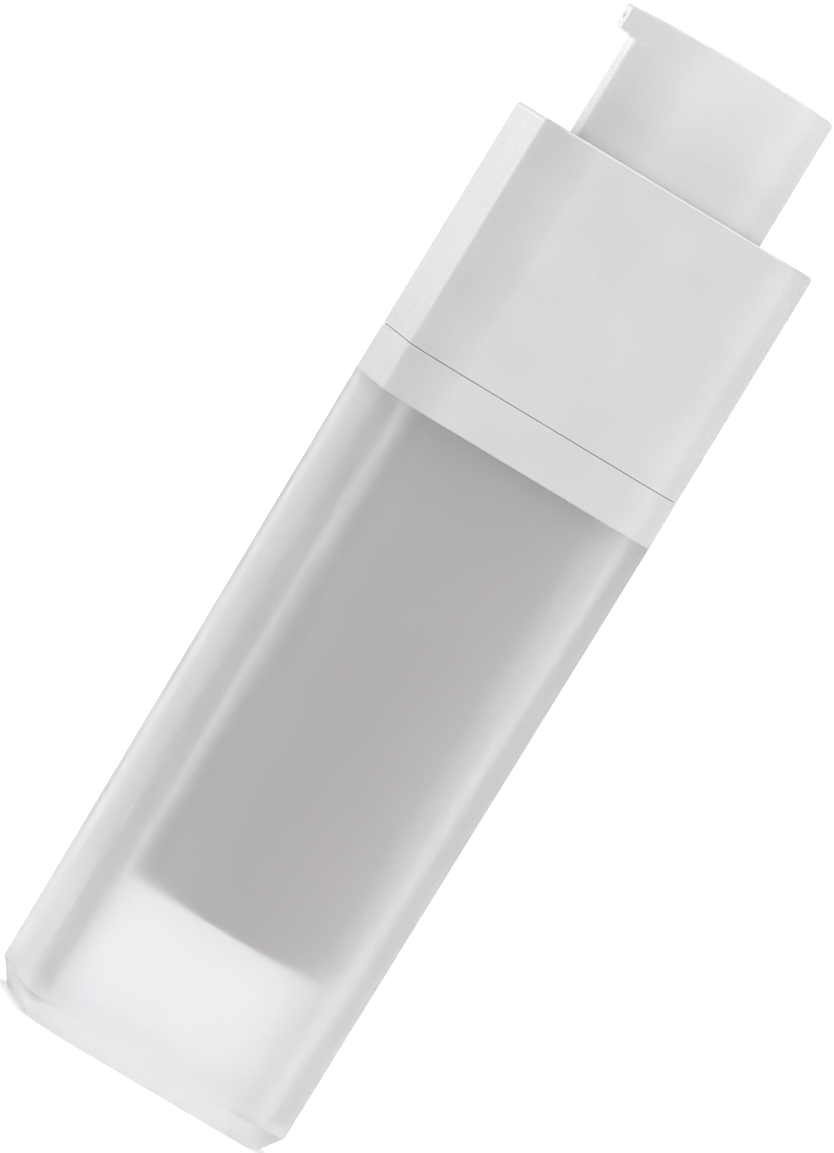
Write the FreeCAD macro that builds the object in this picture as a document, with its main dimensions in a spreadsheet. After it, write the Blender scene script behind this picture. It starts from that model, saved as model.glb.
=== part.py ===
"""Refillable airless pump bottle with a twist-up pump head.

A frosted, thick-walled square bottle holds a round inner cup. A quarter turn of the square collar drives
two pins along helical slots, which lifts the pump head out of the collar and the cup off its floor.
The model shows the head raised. Z is up, the bottle stands on Z = 0, and the nozzle points along -Y.
Lengths are in millimetres and angles in degrees.
"""

import FreeCAD, Part
import math
import os
import re

import Sketcher

# Driving sizes: name, value and what it measures.
SIZES = [
    ("bottle_width", 36.0, "outer bottle across its flats at the shoulder"),
    ("bottle_corner", 6.3, "radius of the upright outer edges"),
    ("bottle_height", 82.1, "foot to shoulder"),
    ("side_taper", 0.45, "narrowing of each side towards the foot"),
    ("bevel_inset", 2.0, "foot bevel, inwards"),
    ("bevel_rise", 2.8, "foot bevel, upwards"),
    ("floor_thickness", 3.1, "outer bottle's floor"),
    ("mouth_wall", 3.15, "outer bottle's wall at the shoulder"),
    ("foot_wall", 3.65, "outer bottle's wall at the floor"),
    ("cavity_corner", 2.6, "radius of the cavity's upright edges"),
    ("cavity_round", 0.6, "rounding around the cavity's floor"),
    ("band_height", 6.0, "lower collar band"),
    ("rim_wall", 1.5, "band's wall around the bottle's spigot"),
    ("plate_thickness", 1.4, "plate across the band"),
    ("seat_gap", 0.1, "gap between pieces that seat on each other"),
    ("snap_gap", 0.03, "gap between pieces pressed together"),
    ("sleeve_room", 2.2, "room for the cam sleeve inside the collar's flats, with the collar's wall"),
    ("sleeve_wall", 1.2, "cam sleeve's wall"),
    ("sleeve_foot_reach", 0.4, "cam sleeve's foot beyond its wall"),
    ("sleeve_foot_height", 0.7, "cam sleeve's foot"),
    ("sleeve_top_gap", 0.4, "room between cam sleeve and head guide"),
    ("slot_land", 0.8, "wall left above each slot"),
    ("slot_foot", 1.1, "wall left below each slot"),
    ("slot_gap", 0.25, "room around a pin in its slot"),
    ("bead_reach", 0.3, "retaining bead beyond the sleeve's wall"),
    ("bead_height", 0.7, "retaining bead"),
    ("lift", 16.1, "height that the head and the cup rise"),
    ("seam_gap", 0.08, "seam between band and upper collar"),
    ("collar_wall", 1.6, "upper collar's wall"),
    ("collar_roof", 2.0, "upper collar's top"),
    ("edge_round", 0.5, "rounding of the collar's top edge"),
    ("rail_thickness", 1.0, "each rail beside a pin"),
    ("rail_gap", 0.3, "room beside a pin between its rails, and around the sleeve"),
    ("rail_start", 1.3, "start of the rails above the band"),
    ("lug_width", 6.0, "snap lug along the collar's side"),
    ("lug_height", 0.8, "snap lug"),
    ("lug_gap", 0.1, "room between a lug and the sleeve"),
    ("head_end_margin", 5.55, "collar's top in front of the head and behind it"),
    ("head_side_margin", 8.5, "collar's top on each side of the head"),
    ("head_flat", 4.6, "straight stretch of the head's front, between its corners"),
    ("head_gap", 0.25, "room around the head in its guide"),
    ("head_wall", 1.5, "push head's wall"),
    ("head_roof", 1.1, "push head's top"),
    ("head_round", 0.45, "rounding of the push head's edges"),
    ("crown", 0.6, "fall of the head's top from its middle to the lip's end"),
    ("lip_reach", 2.05, "nozzle lip beyond the head's front"),
    ("lip_width", 5.3, "nozzle lip's end"),
    ("lip_thickness", 3.85, "nozzle lip at the head, under the middle of its top"),
    ("lip_rise", 0.33, "climb of the lip's underside towards its end"),
    ("lip_round", 0.5, "rounding of the lip's upright edges"),
    ("lip_rest_gap", 0.3, "room under the lowered lip"),
    ("pocket_floor", 1.55, "floor of the lip's recess"),
    ("guide_wall", 1.2, "wall of the head's guide in the collar"),
    ("stroke", 3.2, "travel of the push head"),
    ("skirt_gap", 0.5, "room under the pressed head"),
    ("carrier_gap", 1.0, "room between guide and lift carrier"),
    ("closure_plate", 1.2, "lift carrier's plate"),
    ("hoop_gap", 0.4, "room around the lift carrier in the sleeve"),
    ("hoop_wall", 1.2, "lift carrier's outer hoop"),
    ("hoop_height", 4.4, "lift carrier's outer hoop, with its plate"),
    ("pin_radius", 1.0, "guide pin"),
    ("pin_reach", 1.8, "guide pin beyond the sleeve"),
    ("ring_wall", 1.0, "neck ring's wall"),
    ("ring_gap", 0.3, "room between neck ring and cup"),
    ("rib_thickness", 0.8, "radial rib"),
    ("rib_setback", 0.6, "ribs above the neck ring's end"),
    ("cup_gap", 0.6, "room around the lowered cup at the bottle's floor"),
    ("cup_wall", 1.2, "inner cup's wall"),
    ("cup_shoulder", 1.4, "bevel of the cup's shoulder"),
    ("floor_gap", 0.5, "room under the lowered cup"),
    ("neck_height", 5.3, "cup's neck"),
    ("neck_wall", 1.05, "cup neck's wall"),
    ("gasket_thickness", 0.8, "neck gasket"),
    ("gasket_lap", 0.35, "neck gasket inside the bore of the cup's neck"),
    ("flange_thickness", 1.0, "pump flange"),
    ("throat_radius", 5.9, "pump throat in the lift carrier's plate"),
    ("throat_wall", 1.3, "pump throat's wall"),
    ("bowl_radius", 6.4, "wide upper part of the pump cylinder"),
    ("bowl_depth", 2.7, "wide part below the flange"),
    ("barrel_bore", 3.3, "pump cylinder's bore"),
    ("barrel_wall", 0.95, "pump cylinder's wall"),
    ("chamber_drop", 2.5, "top of the pump chamber below the flange"),
    ("chamber_spare", 0.8, "room under the pressed piston"),
    ("tip_radius", 2.95, "pump cylinder's tip"),
    ("valve_floor", 1.0, "tip's wall under the valve seat"),
    ("inlet_radius", 0.7, "inlet hole"),
    ("ball_radius", 1.1, "inlet ball"),
    ("ball_room", 0.5, "room around the inlet ball"),
    ("ball_gap", 0.03, "room between the ball and its seat"),
    ("ball_lift", 0.4, "travel of the inlet ball"),
    ("mouth_radius", 0.95, "mouth that keeps the ball in"),
    ("mouth_height", 0.4, "lip of that mouth"),
    ("cap_thickness", 1.0, "housing cap's flange"),
    ("boss_wall", 0.7, "spring boss around the stem"),
    ("boss_height", 1.0, "spring boss"),
    ("stem_radius", 2.0, "pump stem"),
    ("stem_bore", 0.9, "pump stem's channel"),
    ("stem_gap", 0.08, "running gap around stem and pistons"),
    ("stem_collar_reach", 0.7, "stem's collar above the piston"),
    ("stem_collar_height", 0.6, "stem's collar"),
    ("stem_foot", 0.4, "stem below the piston"),
    ("piston_height", 3.2, "pump piston"),
    ("piston_lip", 0.8, "each lip of the pump piston"),
    ("piston_waist", 0.4, "waist of the pump piston"),
    ("spring_length", 7.4, "return spring with the head up"),
    ("spring_radius", 3.4, "return spring's mean radius"),
    ("wire_radius", 0.26, "return spring's wire"),
    ("core_radius", 3.2, "nozzle duct's column"),
    ("core_plate", 1.0, "nozzle duct's plate"),
    ("socket_depth", 5.0, "stem in the nozzle duct"),
    ("arm_radius", 0.9, "nozzle duct's arm"),
    ("channel_radius", 0.5, "channel in the arm"),
    ("valve_length", 0.8, "outlet valve"),
    ("nozzle_length", 1.2, "nozzle tip"),
    ("follower_gap", 0.08, "running gap around the follower"),
    ("follower_height", 9.0, "follower piston"),
    ("follower_lip", 1.5, "each lip of the follower"),
    ("follower_waist", 0.55, "waist of the follower"),
    ("follower_wall", 1.0, "wall of the follower"),
    ("follower_well", 5.2, "radius of the well that takes the pump's tip"),
    ("follower_well_depth", 6.7, "depth of that well"),
    ("follower_rest_gap", 0.3, "room between follower and cup base"),
    ("base_web", 1.0, "cup base's web"),
    ("base_rim", 1.2, "cup base's rim"),
    ("base_height", 1.8, "cup base"),
    ("vent_radius", 1.0, "cup base's vent"),
    ("overrun", 1.0, "length that a cut runs past a face"),
]

# Counts, angles and a share: name, value and meaning.
COUNTS = [
    ("turn_angle", 90, "turn of the collar between head down and head up"),
    ("pin_angle", 45, "place of the first guide pin, towards a corner"),
    ("pin_count", 2, "guide pins, and helical slots"),
    ("rib_count", 6, "ribs around the neck ring"),
    ("side_count", 4, "sides of the collar"),
    ("spring_turns", 5, "turns of the return spring"),
    ("ring_room_share", 0.647, "share of the free room around the pump that lies outside the neck ring"),
]

# Levels and radii that follow from the sizes, each after what it needs.
PLACES = [
    ("foot_width", "bottle_width - 2 * side_taper"),
    ("cavity_mouth", "bottle_width - 2 * mouth_wall"),
    ("cavity_foot", "foot_width - 2 * foot_wall"),
    ("band_top", "bottle_height + band_height"),
    ("plate_bottom", "band_top - plate_thickness"),
    ("spigot_top", "plate_bottom - seat_gap"),
    ("spigot_width", "bottle_width - 2 * rim_wall - 2 * seat_gap"),
    ("spigot_corner", "bottle_corner - rim_wall - seat_gap"),
    ("sleeve_radius", "bottle_width / 2 - sleeve_room"),
    ("sleeve_bore", "sleeve_radius - sleeve_wall"),
    ("sleeve_foot_top", "band_top + sleeve_foot_height"),
    ("slot_radius", "sleeve_bore + sleeve_wall / 2"),
    ("slot_slope", "atan(lift / (slot_radius * turn_angle * pi / 180))"),
    ("slot_half", "(pin_radius + slot_gap) / cos(slot_slope)"),
    ("slot_overturn", "(pin_radius + slot_gap) / slot_radius * 180 / pi"),
    ("slot_turn", "turn_angle + 2 * slot_overturn"),
    ("slot_rise", "lift * slot_turn / turn_angle"),
    ("slot_reach", "slot_half + lift * slot_overturn / turn_angle"),
    ("slot_bottom", "plate_bottom + slot_foot"),
    ("pin_level", "slot_bottom + slot_reach + lift"),
    ("sleeve_top", "pin_level + slot_reach + slot_land"),
    ("bead_bottom", "sleeve_top - bead_height"),
    ("guide_bottom", "sleeve_top + sleeve_top_gap"),
    ("recess_floor", "guide_bottom + pocket_floor"),
    ("head_length", "bottle_width - 2 * head_end_margin"),
    ("head_width", "bottle_width - 2 * head_side_margin"),
    ("head_corner", "(head_width - head_flat) / 2"),
    ("head_front", "head_length / 2 + lip_reach"),
    ("lip_across", "(lip_width - head_flat) / 2"),
    ("lip_along", "head_corner + lip_reach"),
    ("lip_turn", "atan(lip_across / lip_along) + acos(head_corner / sqrt(lip_across ^ 2 + lip_along ^ 2))"),
    ("collar_bottom", "band_top + seam_gap"),
    ("collar_top", "recess_floor + stroke + lip_rest_gap + lip_thickness - crown"),
    ("collar_inside", "bottle_width / 2 - collar_wall"),
    ("collar_inner_corner", "bottle_corner - collar_wall"),
    ("collar_inner_diagonal", "(collar_inside - collar_inner_corner) * sqrt(2) + collar_inner_corner"),
    ("closure_top", "guide_bottom - carrier_gap"),
    ("closure_bottom", "closure_top - closure_plate"),
    ("carrier_radius", "sleeve_bore - hoop_gap"),
    ("hoop_bore", "carrier_radius - hoop_wall"),
    ("neck_layers", "neck_wall + ring_gap + ring_wall"),
    ("ring_radius", "hoop_bore - ring_room_share * (hoop_bore - bowl_radius - neck_layers)"),
    ("ring_bore", "ring_radius - ring_wall"),
    ("flange_radius", "ring_bore - seat_gap"),
    ("flange_bottom", "closure_bottom - flange_thickness"),
    ("gasket_bottom", "flange_bottom - gasket_thickness"),
    ("neck_top", "gasket_bottom - seat_gap"),
    ("neck_radius", "ring_bore - ring_gap"),
    ("neck_bore", "neck_radius - neck_wall"),
    ("gasket_bore", "neck_bore - gasket_lap"),
    ("shoulder_top", "neck_top - neck_height"),
    ("ring_end", "shoulder_top + ring_gap"),
    ("rib_bottom", "ring_end + rib_setback"),
    ("hoop_bottom", "closure_top - hoop_height"),
    ("cup_bottom", "floor_thickness + floor_gap + lift"),
    ("cup_radius", "cavity_foot / 2 - cup_gap"),
    ("cup_bore", "cup_radius - cup_wall"),
    ("cup_ceiling", "shoulder_top - cup_wall"),
    ("throat_bore", "throat_radius - throat_wall"),
    ("chamber_top", "flange_bottom - chamber_drop"),
    ("chamber_floor", "chamber_top - piston_height - stroke - chamber_spare"),
    ("barrel_radius", "barrel_bore + barrel_wall"),
    ("cage_top", "chamber_floor - mouth_height"),
    ("ball_level", "cage_top - ball_gap - ball_lift - ball_radius"),
    ("seat_bottom", "ball_level - ball_gap - ball_radius * sqrt(2) + inlet_radius"),
    ("cage_radius", "ball_radius + ball_room"),
    ("seat_top", "seat_bottom + cage_radius - inlet_radius"),
    ("tip_end", "seat_bottom - valve_floor"),
    ("cap_top", "closure_top + cap_thickness"),
    ("cap_bottom", "chamber_top + throat_bore - barrel_bore + seat_gap"),
    ("piston_bottom", "chamber_top - piston_height"),
    ("core_level", "cap_top + spring_length"),
    ("stem_top", "core_level + socket_depth"),
    ("skirt_bottom", "closure_top + stroke + skirt_gap"),
    ("head_top", "collar_top + lift + crown"),
    ("crown_radius", "(head_front ^ 2 + crown ^ 2) / (2 * crown)"),
    ("crown_reach", "head_front + overrun"),
    ("crown_end", "head_top - crown_radius + sqrt(crown_radius ^ 2 - crown_reach ^ 2)"),
    ("lip_bottom", "head_top - lip_thickness"),
    ("nozzle_level", "(lip_bottom + lip_rise + head_top - crown) / 2"),
    ("head_ceiling", "head_top - head_roof"),
    ("follower_bottom", "cup_bottom + base_height + follower_rest_gap"),
    ("follower_top", "follower_bottom + follower_height"),
    ("follower_radius", "cup_bore - follower_gap"),
]

# Two heights closer than this are one.
FLATNESS = 1e-4

# Points on each turn of the spring, where the gap between its turns is measured.
POINTS_PER_TURN = 36

HOLDER = {}
for holder, rows in (("Sizes", SIZES), ("Counts", COUNTS), ("Places", PLACES)):
    HOLDER.update({row[0]: f"{holder}.{row[0]}" for row in rows})


def formula(text):
    """The text with each named size written as the cell that holds it."""
    return re.sub(r"[a-z][a-z_]+", lambda word: HOLDER.get(word.group(), word.group()), text)


def fill_sheet(document, name, rows):
    """A sheet with one named cell and its note on each row."""
    sheet = document.addObject("Spreadsheet::Sheet", name)
    for line, (alias, content, note) in enumerate(rows, start=1):
        sheet.set(f"A{line}", note)
        sheet.set(f"B{line}", str(content))
        sheet.setAlias(f"B{line}", alias)
    document.recompute()
    return sheet


def value(owner, text):
    """The number that a formula gives now."""
    return float(owner.evalExpression(formula(text)))


def bind(owner, **formulas):
    """Ties properties of an object to formulas."""
    for name, text in formulas.items():
        owner.setExpression(name.replace("__", "."), formula(text))


def start_body(label):
    """An empty body, which becomes the piece of that name."""
    body = document.addObject("PartDesign::Body", label)
    body.Label = label
    return body


def start_sketch(body, plane, level=None, turn=None, spin=None):
    """A sketch on one of the body's planes, raised along its normal, turned on its upright axis or spun."""
    sketch = body.newObject("Sketcher::SketchObject", f"{body.Label}_outline")
    support = next(item for item in body.Origin.OriginFeatures if item.Role == plane)
    sketch.AttachmentSupport = (support, [""])
    sketch.MapMode = "FlatFace"
    if level is not None:
        bind(sketch, AttachmentOffset__Base__z=level)
    for angle, axis in ((turn, FreeCAD.Vector(0, 1, 0)), (spin, FreeCAD.Vector(0, 0, 1))):
        if angle is not None:
            sketch.AttachmentOffset.Rotation = FreeCAD.Rotation(axis, 1)
            bind(sketch, AttachmentOffset__Rotation__Angle=angle)
    return sketch


def fix_point(sketch, line, end, across, up):
    """Ties one end of a line to formulas for its two coordinates."""
    for kind, text, axis in (("DistanceX", across, -2), ("DistanceY", up, -1)):
        if text == "0":
            sketch.addConstraint(Sketcher.Constraint("PointOnObject", line, end, axis))
        else:
            size = Sketcher.Constraint(kind, -1, 1, line, end, value(sketch, text))
            bind(sketch, **{f"Constraints[{sketch.addConstraint(size)}]": text})


def draw_outline(sketch, points):
    """A closed outline of straight lines through points given as formulas."""
    corners = [FreeCAD.Vector(value(sketch, across), value(sketch, up)) for across, up in points]
    following = corners[1:] + corners[:1]
    sketch.addGeometry([Part.LineSegment(a, b) for a, b in zip(corners, following)], False)
    for line in range(len(points)):
        after = (line + 1) % len(points)
        sketch.addConstraint(Sketcher.Constraint("Coincident", line, 2, after, 1))
    for line, (across, up) in enumerate(points):
        fix_point(sketch, line, 1, across, up)


def draw_circle(sketch, radius, up="0"):
    """A circle on the sketch's upright axis."""
    centre = FreeCAD.Vector(0, value(sketch, up))
    sketch.addGeometry(Part.Circle(centre, FreeCAD.Vector(0, 0, 1), value(sketch, radius)), False)
    fix_point(sketch, 0, 3, "0", up)
    size = Sketcher.Constraint("Radius", 0, value(sketch, radius))
    bind(sketch, **{f"Constraints[{sketch.addConstraint(size)}]": radius})


def draw_rounded(sketch, width, length, corner, back=None):
    """A rectangle with round corners, centred across, whose far side lies at back, or centred both ways."""
    back = back or f"({length}) / 2"
    half, deep, far, bend = (value(sketch, text) for text in (f"({width}) / 2", length, back, corner))
    near = far - deep
    spot = FreeCAD.Vector
    sides = [
        Part.LineSegment(spot(half, near + bend), spot(half, far - bend)),
        Part.LineSegment(spot(half - bend, far), spot(bend - half, far)),
        Part.LineSegment(spot(-half, far - bend), spot(-half, near + bend)),
        Part.LineSegment(spot(bend - half, near), spot(half - bend, near)),
    ]
    middles = [spot(half - bend, far - bend), spot(bend - half, far - bend)]
    middles += [spot(bend - half, near + bend), spot(half - bend, near + bend)]
    arcs = []
    for quarter, middle in enumerate(middles):
        begin = quarter * math.pi / 2
        circle = Part.Circle(middle, spot(0, 0, 1), bend)
        arcs.append(Part.ArcOfCircle(circle, begin, begin + math.pi / 2))
    sketch.addGeometry(sides + arcs, False)
    for side in range(4):
        arc = side + 4
        after = (side + 1) % 4
        kind = "Vertical" if side % 2 == 0 else "Horizontal"
        sketch.addConstraint(Sketcher.Constraint(kind, side))
        sketch.addConstraint(Sketcher.Constraint("Tangent", side, 2, arc, 1))
        sketch.addConstraint(Sketcher.Constraint("Tangent", arc, 2, after, 1))
        if side:
            sketch.addConstraint(Sketcher.Constraint("Equal", 4, arc))
    sizes = [
        (Sketcher.Constraint("Radius", 4, bend), corner),
        (Sketcher.Constraint("DistanceX", -1, 1, 0, 1, half), f"({width}) / 2"),
        (Sketcher.Constraint("DistanceY", -1, 1, 1, 1, far), back),
        (Sketcher.Constraint("DistanceX", 2, 1, 0, 2, 2 * half), width),
        (Sketcher.Constraint("DistanceY", 3, 2, 1, 1, deep), length),
    ]
    for size, text in sizes:
        bind(sketch, **{f"Constraints[{sketch.addConstraint(size)}]": text})


def turn_outline(body, points, plane="XZ_Plane"):
    """A solid turned about the sketch's upright axis from a closed outline."""
    sketch = start_sketch(body, plane)
    draw_outline(sketch, points)
    solid = body.newObject("PartDesign::Revolution", f"{body.Label}_turned")
    solid.Profile = sketch
    solid.ReferenceAxis = (sketch, ["V_Axis"])
    solid.Angle = 360
    return solid


def turned_piece(label, points, plane="XZ_Plane"):
    """A piece that is one turned solid."""
    body = start_body(label)
    turn_outline(body, points, plane)
    return body


def extrude(body, kind, sketch, depth, **settings):
    """A Pad or a Pocket of a sketch, with its length tied to a formula."""
    feature = body.newObject(f"PartDesign::{kind}", f"{body.Label}_{kind.lower()}")
    feature.Profile = sketch
    bind(feature, Length=depth)
    for name, setting in settings.items():
        setattr(feature, name, setting)
    return feature


def rounded_block(body, kind, top, depth, plan):
    """A Pad or Pocket of a rounded rectangle that reaches down from a level."""
    sketch = start_sketch(body, "XY_Plane", level=top)
    draw_rounded(sketch, *plan)
    return extrude(body, kind, sketch, depth, Reversed=kind == "Pad")


def round_hole(body, top, depth, radius):
    """A round pocket on the upright axis that reaches down from a level."""
    sketch = start_sketch(body, "XY_Plane", level=top)
    draw_circle(sketch, radius)
    return extrude(body, "Pocket", sketch, depth)


def repeat_around(body, feature, count):
    """Copies of a feature around the upright axis."""
    pattern = body.newObject("PartDesign::PolarPattern", f"{body.Label}_pattern")
    pattern.Originals = [feature]
    upright = next(item for item in body.Origin.OriginFeatures if item.Role == "Z_Axis")
    pattern.Axis = (upright, [""])
    pattern.Angle = 360
    bind(pattern, Occurrences=count)
    body.Tip = pattern
    return pattern


def at_level(body, level):
    """The test whether an edge lies at one height."""
    height = value(body, level)
    return lambda edge: all(abs(vertex.Z - height) < FLATNESS for vertex in edge.Vertexes)


def round_edges(body, size, wanted):
    """A fillet of the edges that a test picks."""
    document.recompute()
    base = body.Tip
    names = [f"Edge{number}" for number, edge in enumerate(base.Shape.Edges, start=1) if wanted(edge)]
    fillet = body.newObject("PartDesign::Fillet", f"{body.Label}_fillet")
    fillet.Base = (base, names)
    bind(fillet, Radius=size)
    return fillet


def make_outer_bottle():
    """Thick square bottle: a bevelled foot, slightly flared sides, a spigot on top and a drafted cavity."""
    body = start_body("outer_bottle")
    foot = start_sketch(body, "XY_Plane")
    inset_width = "foot_width - 2 * bevel_inset"
    draw_rounded(foot, inset_width, inset_width, "bottle_corner - bevel_inset")
    heel = start_sketch(body, "XY_Plane", level="bevel_rise")
    draw_rounded(heel, "foot_width", "foot_width", "bottle_corner")
    shoulder = start_sketch(body, "XY_Plane", level="bottle_height")
    draw_rounded(shoulder, "bottle_width", "bottle_width", "bottle_corner")
    walls = body.newObject("PartDesign::AdditiveLoft", "outer_bottle_walls")
    walls.Profile = foot
    walls.Sections = [heel, shoulder]
    walls.Ruled = True
    spigot = ("spigot_width", "spigot_width", "spigot_corner")
    rounded_block(body, "Pad", "spigot_top", "spigot_top - bottle_height", spigot)
    floor = start_sketch(body, "XY_Plane", level="floor_thickness")
    draw_rounded(floor, "cavity_foot", "cavity_foot", "cavity_corner")
    mouth = start_sketch(body, "XY_Plane", level="spigot_top + overrun")
    draw_rounded(mouth, "cavity_mouth", "cavity_mouth", "cavity_corner")
    cavity = body.newObject("PartDesign::SubtractiveLoft", "outer_bottle_cavity")
    cavity.Profile = floor
    cavity.Sections = [mouth]
    cavity.Ruled = True
    round_edges(body, "cavity_round", at_level(body, "floor_thickness"))
    return body


def make_collar_ring():
    """Square band with a rim that fits over the bottle's spigot and a plate that holds the cam sleeve."""
    body = start_body("collar_ring")
    outside = ("bottle_width", "bottle_width", "bottle_corner")
    rounded_block(body, "Pad", "band_top", "band_height", outside)
    inside = ("bottle_width - 2 * rim_wall", "bottle_width - 2 * rim_wall", "bottle_corner - rim_wall")
    rounded_block(body, "Pocket", "plate_bottom", "plate_bottom - bottle_height + overrun", inside)
    round_hole(body, "band_top + overrun", "plate_thickness + 2 * overrun", "sleeve_radius + snap_gap")
    return body


def make_cam_sleeve():
    """Round sleeve with a foot, a retaining bead and one helical slot for each guide pin."""
    body = start_body("cam_sleeve")
    turn_outline(body, [
        ("sleeve_bore", "plate_bottom"),
        ("sleeve_radius", "plate_bottom"),
        ("sleeve_radius", "band_top"),
        ("sleeve_radius + sleeve_foot_reach", "band_top"),
        ("sleeve_radius + sleeve_foot_reach", "sleeve_foot_top"),
        ("sleeve_radius", "sleeve_foot_top"),
        ("sleeve_radius", "bead_bottom"),
        ("sleeve_radius + bead_reach", "bead_bottom"),
        ("sleeve_radius + bead_reach", "sleeve_top"),
        ("sleeve_bore", "sleeve_top"),
    ])
    section = start_sketch(body, "XZ_Plane", turn="pin_angle + turn_angle + slot_overturn")
    draw_outline(section, [
        ("sleeve_bore - overrun", "slot_bottom + slot_reach - slot_half - (slot_rise - lift) / 2"),
        ("sleeve_radius + overrun", "slot_bottom + slot_reach - slot_half - (slot_rise - lift) / 2"),
        ("sleeve_radius + overrun", "slot_bottom + slot_reach + slot_half - (slot_rise - lift) / 2"),
        ("sleeve_bore - overrun", "slot_bottom + slot_reach + slot_half - (slot_rise - lift) / 2"),
    ])
    slot = body.newObject("PartDesign::SubtractiveHelix", "cam_sleeve_slot")
    slot.Profile = section
    slot.ReferenceAxis = (section, ["V_Axis"])
    slot.Mode = "height-turns-angle"
    slot.LeftHanded = True
    bind(slot, Height="slot_rise", Turns="slot_turn / 360")
    repeat_around(body, slot, "pin_count")
    return body


def lip_plan(room):
    """Corners of the lip's plan, with room around it: its flanks run on from the head's round corners."""
    end = f"lip_width / 2 + ({room}) * tan(lip_turn / 2)"
    root = f"head_flat / 2 + (head_corner + {room}) * sin(lip_turn)"
    front = f"-head_front - ({room})"
    back = f"head_corner - head_length / 2 - (head_corner + {room}) * cos(lip_turn)"
    return [(f"-({end})", front), (end, front), (root, back), (f"-({root})", back)]


def make_upper_collar():
    """Tall square collar: guide and recess for the head, rails for the pins, lugs under the bead."""
    body = start_body("upper_collar")
    outside = ("bottle_width", "bottle_width", "bottle_corner")
    rounded_block(body, "Pad", "collar_top", "collar_top - collar_bottom", outside)
    round_edges(body, "edge_round", at_level(body, "collar_top"))
    roof = "collar_top - collar_roof"
    inside = ("2 * collar_inside", "2 * collar_inside", "collar_inner_corner")
    rounded_block(body, "Pocket", roof, f"{roof} - collar_bottom + overrun", inside)
    guide_room = "2 * (head_gap + guide_wall)"
    guide = (f"head_width + {guide_room}", f"head_length + lip_reach + {guide_room}",
             "head_corner + head_gap + guide_wall", "head_length / 2 + head_gap + guide_wall")
    rounded_block(body, "Pad", f"{roof} + seat_gap", f"{roof} + seat_gap - guide_bottom", guide)
    above = "collar_top + overrun"
    head_hole = ("head_width + 2 * head_gap", "head_length + 2 * head_gap", "head_corner + head_gap")
    rounded_block(body, "Pocket", above, f"{above} - guide_bottom + overrun", head_hole)
    recess = start_sketch(body, "XY_Plane", level=above)
    draw_outline(recess, lip_plan("head_gap"))
    extrude(body, "Pocket", recess, f"{above} - recess_floor")
    add_rails(body, roof)
    add_lugs(body)
    return body


def add_rails(body, roof):
    """A pair of upright rails at each guide pin, from the collar's corner towards the sleeve."""
    near = "sleeve_radius + rail_gap"
    far = "collar_inner_diagonal + collar_wall / 2"
    for side in ("", "-"):
        sketch = start_sketch(body, "XY_Plane", level="band_top + rail_start", spin="pin_angle")
        inner = f"{side}(pin_radius + rail_gap)"
        outer = f"{side}(pin_radius + rail_gap + rail_thickness)"
        draw_outline(sketch, [(near, inner), (far, inner), (far, outer), (near, outer)])
        rail = extrude(body, "Pad", sketch, f"{roof} + seat_gap - band_top - rail_start")
        repeat_around(body, rail, "pin_count")


def add_lugs(body):
    """A snap lug in the middle of each side, just under the sleeve's bead."""
    sketch = start_sketch(body, "XY_Plane", level="bead_bottom - seat_gap")
    near = "sleeve_radius + lug_gap"
    far = "collar_inside + collar_wall / 2"
    draw_outline(sketch, [
        (near, "-lug_width / 2"),
        (far, "-lug_width / 2"),
        (far, "lug_width / 2"),
        (near, "lug_width / 2"),
    ])
    lug = extrude(body, "Pad", sketch, "lug_height", Reversed=True)
    repeat_around(body, lug, "side_count")


def make_lift_carrier():
    """Closure plate with the neck ring, the hoop in the cam sleeve, six radial ribs and two guide pins."""
    body = start_body("lift_carrier")
    turn_outline(body, [
        ("throat_radius + snap_gap", "closure_bottom"),
        ("ring_bore", "closure_bottom"),
        ("ring_bore", "ring_end"),
        ("ring_radius", "ring_end"),
        ("ring_radius", "closure_bottom"),
        ("hoop_bore", "closure_bottom"),
        ("hoop_bore", "hoop_bottom"),
        ("carrier_radius", "hoop_bottom"),
        ("carrier_radius", "closure_top"),
        ("throat_radius + snap_gap", "closure_top"),
    ])
    blade = start_sketch(body, "XZ_Plane", turn="-pin_angle")
    draw_outline(blade, [
        ("ring_radius - ring_wall / 2", "rib_bottom"),
        ("carrier_radius - hoop_wall / 2", "rib_bottom"),
        ("carrier_radius - hoop_wall / 2", "closure_top - closure_plate / 2"),
        ("ring_radius - ring_wall / 2", "closure_top - closure_plate / 2"),
    ])
    rib = extrude(body, "Pad", blade, "rib_thickness", Midplane=True)
    repeat_around(body, rib, "rib_count")
    section = start_sketch(body, "YZ_Plane", level="carrier_radius - hoop_wall / 2")
    draw_circle(section, "pin_radius", "pin_level")
    pin = extrude(body, "Pad", section, "sleeve_radius + pin_reach - carrier_radius + hoop_wall / 2")
    repeat_around(body, pin, "pin_count")
    bind(body, Placement__Rotation__Angle="pin_angle")
    return body


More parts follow.
